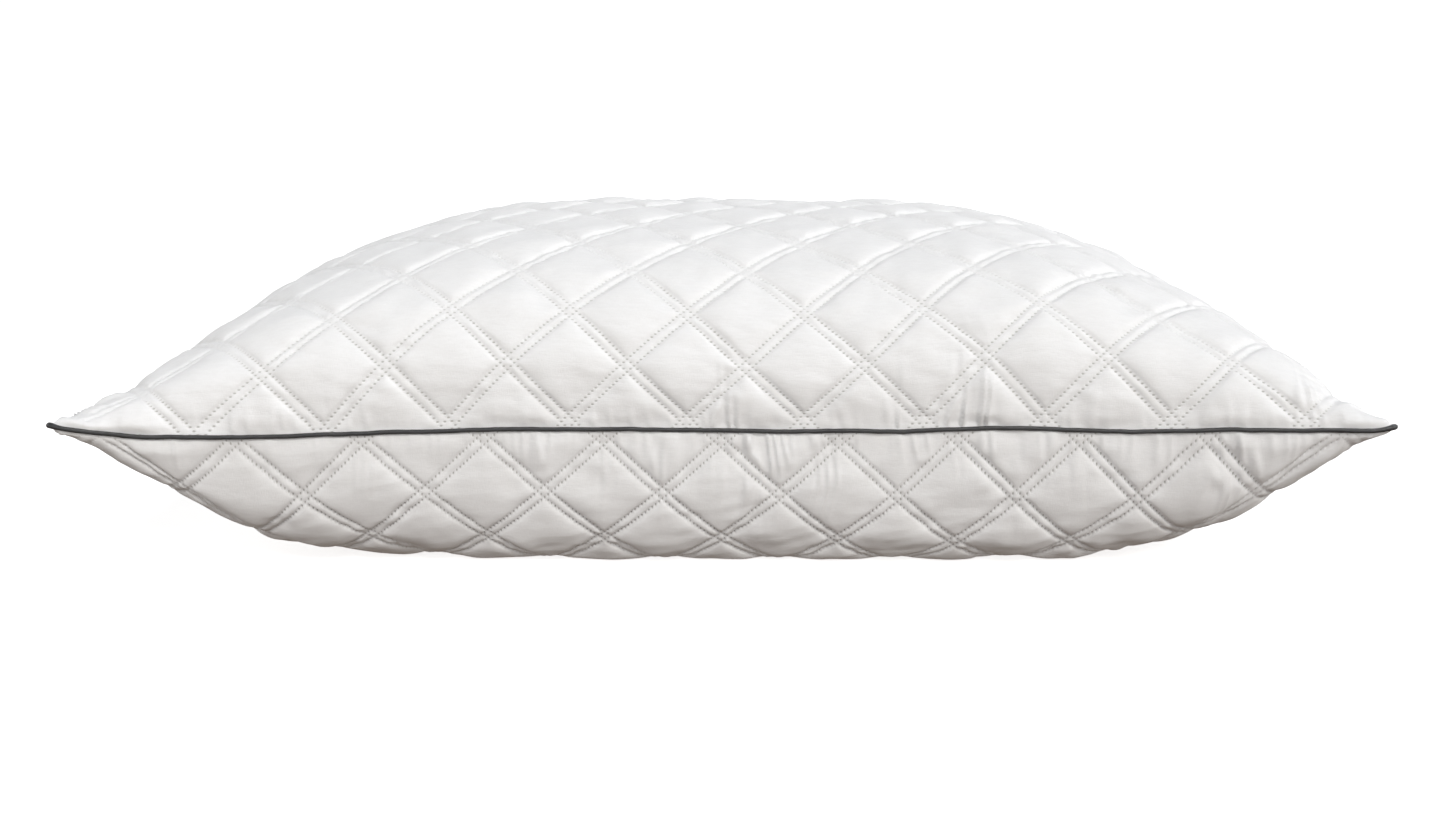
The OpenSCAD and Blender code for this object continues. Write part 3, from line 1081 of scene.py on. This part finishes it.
@dataclass
class Piping:
    """The corded edge: a twisted cord in a strip that is sewn between the panels with its edges inward.

    It lies a little outside the seam, wanders as sewn piping does, and is tucked in at the tips.
    """

    seam: SeamLine
    cover_r: float = 1.3
    cord_r: float = 0.92
    stand_out: float = 0.95
    tuck: float = 1.6
    flange_w: float = 6.0
    seed: int = 5

    def build(self, strip: Material, cord: Material) -> None:
        """Makes the cover with its flange, and the cord inside it."""
        seam, noise = self.seam, ValueNoise(self.seed)
        none = 0 * seam.along
        wander_up = 0.28 * noise(seam.along / 19, none) + 0.12 * noise(seam.along / 7, none + 3)
        wander_out = 0.25 * noise(seam.along / 23, none + 8)
        tucked = self.tuck * bell(seam.from_tip, 6)
        path = seam.shifted(self.stand_out + wander_out - tucked, wander_up)

        def cover_radius(along: Array, angle: Array) -> Array:
            """The strip's radius, with small creases and a flattened inner side."""
            creased = 1 + 0.05 * noise(along / 5, angle * 1.5) + 0.03 * noise(along / 1.9, 4 + angle * 2)
            return self.cover_r * (creased + 0.25 * bell(seam.from_tip[:, None], 5))

        points, cut, faces = tube(path, seam.out, seam.up, cover_radius, 20)
        inner = seam.shifted(-self.flange_w, 0.0)
        number = len(points) + np.arange(2 * seam.count).reshape(2, -1)
        flange = np.stack([number[0], np.roll(number[0], -1), np.roll(number[1], -1), number[1]], 1)
        strip_cut = [np.stack([seam.along, none + w], 1) for w in (10, 10 + self.flange_w)]
        points = np.vstack([points, path - seam.out * 0.6, inner])
        faces = np.vstack([faces, flange])
        cover = new_mesh("piping_strip", points, faces, np.vstack([cut, *strip_cut]))
        place_piece(cover, strip, "grey_sateen_strip", "piping_cover")

        def cord_radius(along: Array, angle: Array) -> Array:
            """Three plies, twisted once in nine millimetres."""
            return self.cord_r * (0.88 + 0.12 * np.abs(np.cos(1.5 * (angle - along * 2 * np.pi / 9))))

        points, cut, faces = tube(path, seam.out, seam.up, cord_radius, 12)
        core = new_mesh("piping_core", points, faces, cut)
        place_piece(core, cord, "twisted_cord", "piping_cord")


@dataclass
class Sewing:
    """The threads of the seam: the lockstitch rows, the overlocked allowance and the closed filling gap."""

    seam: SeamLine
    gap_half: float = 139.0

    def in_gap(self, point: Array) -> Array:
        """Which points lie on the part of the back edge that is closed after filling."""
        return (np.abs(point[:, 0]) < self.gap_half) & (point[:, 1] > 0)

    def build(self, grey: Material, white: Material) -> None:
        """Makes the four threads."""
        by_hand = StitchRow(-0.4, 1.0, pitch=5.0, long=3.2, radius=0.24, slant=0.5)
        upper, lower = StitchRow(-0.3, 0.6), StitchRow(-0.3, -0.6)
        rows = [
            ("needle_stitches", upper, lambda p: ~self.in_gap(p), grey, "grey_thread", "needle_thread"),
            ("bobbin_stitches", lower, lambda p: p[:, 2] > 0, grey, "grey_thread", "bobbin_thread"),
            ("closing_stitches", by_hand, self.in_gap, white, "white_thread", "closing_thread"),
        ]
        for name, row, where, finish, slot, node in rows:
            points, cut, faces = row.make(self.seam, where)
            place_piece(new_mesh(name, points, faces, cut), finish, slot, node)
        self.build_overlock(white)

    def build_overlock(self, finish: Material) -> None:
        """Makes the zigzag that binds the seam allowance inside."""
        seam = self.seam
        count = int(seam.length / 0.75) // 4 * 4
        along = np.arange(count) * seam.length / count
        point, _, out, up = seam.at(along)
        swing, lift = np.resize([0.0, 1.0, 0.0, -1.0], count), np.resize([1.0, 0.0, -1.0, 0.0], count)
        path = point - out * (4.0 + 1.6 * swing)[:, None] + up * (0.12 * lift)[:, None]
        points, cut, faces = tube(path, out, up, lambda a, _: 0.16 + 0 * a, 5)
        zigzag = new_mesh("overlock_zigzag", points, faces, cut)
        place_piece(zigzag, finish, "white_thread", "overlock_edging")


@dataclass(frozen=True)
class StudioFloor:
    """Smooth pale board, lit through from below, that runs on past every view.

    It throws no light back at the pillow: what lights the underside is the dimmer ground in the room's light.
    """

    colour: str = "#d0d0d0"
    glow: float = 0.8
    half: float = 40.0

    def lay(self) -> None:
        """Lays the floor that the pillow rests on."""
        shader = {"Base_Color": linear(self.colour), "Emission_Color": linear("#ffffff")}
        material, *_ = new_material("studio_floor", Roughness=0.95, Emission_Strength=self.glow, **shader)
        corners = np.array([(-1, -1, 0), (1, -1, 0), (1, 1, 0), (-1, 1, 0)]) * self.half / MM
        floor = new_mesh("studio_floor", corners, np.array([[0, 1, 2, 3]]))
        floor.data.materials.append(material)
        floor.visible_diffuse = floor.visible_glossy = False


@dataclass(frozen=True)
class Lamp:
    """Far soft light that comes from a direction."""

    name: str
    source: tuple[float, float, float]
    strength: float
    soft_deg: float
    colour: str

    def hang(self) -> None:
        """Adds the lamp to the scene."""
        sun = bpy.data.lights.new(self.name, "SUN")
        sun.color = linear(self.colour)[:3]
        sun.energy, sun.angle = self.strength, np.radians(self.soft_deg)
        lamp = bpy.data.objects.new(self.name, sun)
        x, y, z = self.source
        lamp.rotation_euler = (np.arctan2(np.hypot(x, y), z), 0, np.arctan2(x, -y))
        bpy.context.scene.collection.objects.link(lamp)


@dataclass(frozen=True)
class Studio:
    """A white room with soft light from above on the right, and a camera low in front of the pillow.

    The room goes by height: a dim brown ground, a bright horizon, brighter walls and a dark ceiling. Each
    change runs over the pair of heights named for it, as the sine of the angle above the horizon.
    """

    form: Form
    camera_away: float = 688.0
    camera_above_seam: float = 188.0
    camera_down_deg: float = 14.27
    lens_mm: float = 31.46
    lamps: tuple[Lamp, ...] = (
        Lamp("key", (0.46, 0.10, 0.88), 1.1, 18.0, "#f4f8ff"),
        Lamp("fill", (0.34, -0.70, 0.63), 1.45, 16.0, "#fffaf4"),
    )
    horizon: float = 1.03
    walls: float = 1.35
    ground: str = "#5c4a3a"
    ground_to: tuple[float, float] = (-0.12, -0.04)
    walls_from: tuple[float, float] = (0.08, 0.10)
    ceiling_from: tuple[float, float] = (0.47, 0.53)

    def set_up(self) -> None:
        """Makes the room, its light, the floor and the camera."""
        scene = bpy.context.scene
        scene.view_settings.view_transform = "Standard"
        world = bpy.data.worlds.new("studio")
        world.use_nodes = True
        tree = world.node_tree
        sky = add_node(tree, "TexCoord").outputs["Generated"]
        up = add_node(tree, "SeparateXYZ", None, Vector=sky).outputs["Z"]
        walls = ramp(tree, up, *self.walls_from, self.horizon, self.walls)
        level = calc(tree, "MULTIPLY", walls, ramp(tree, up, *self.ceiling_from, 1.0, 0.0))
        colour = mix(tree, ramp(tree, up, *self.ground_to), self.ground, level)
        tree.links.new(colour, tree.nodes["Background"].inputs["Color"])
        scene.world = world
        StudioFloor().lay()
        for lamp in self.lamps:
            lamp.hang()
        lens = bpy.data.cameras.new("camera")
        lens.lens, lens.sensor_width, lens.sensor_fit = self.lens_mm, 36.0, "HORIZONTAL"
        camera = bpy.data.objects.new("camera", lens)
        scene.collection.objects.link(camera)
        away = self.form.mid_half_w + self.camera_away
        camera.location = (0, -away * MM, (self.form.seam_h + self.camera_above_seam) * MM)
        camera.rotation_euler = (np.radians(90 - self.camera_down_deg), 0, 0)
        scene.camera = camera


def main() -> None:
    """Builds the pillow and its studio."""
    logging.basicConfig(level=logging.INFO, format="%(name)s: %(message)s")
    cut = Cut()
    form = Form(cut)
    Studio(form).set_up()
    grids = {side: form.place(side) for side in Side}
    grids = ClothRest().settle(cut, grids)
    surfaces = {side: Surface(cut, grid) for side, grid in grids.items()}
    seam = SeamLine(cut, surfaces[Side.TOP])
    Filling(cut, surfaces).build(HollowFibre().make())
    casing = Casing(form, Quilting(cut), Puckers(cut), surfaces)
    finishes = (BrushedMicrofibre().make(), PolyesterWadding().make(), SpunbondBacking().make())
    for side in Side:
        casing.build(side, *finishes)
    cord = Yarn("twisted_cord", "#e9e6df", "#b9b5ab", 2.0)
    Piping(seam).build(SateenStrip().make(), cord.make())
    grey = Yarn("grey_thread", "#5a5b5e", "#37383a", 0.25)
    white = Yarn("white_thread", "#f2f1ee", "#c9c7c2", 0.25)
    Sewing(seam).build(grey.make(), white.make())


if __name__ == "__main__":
    main()
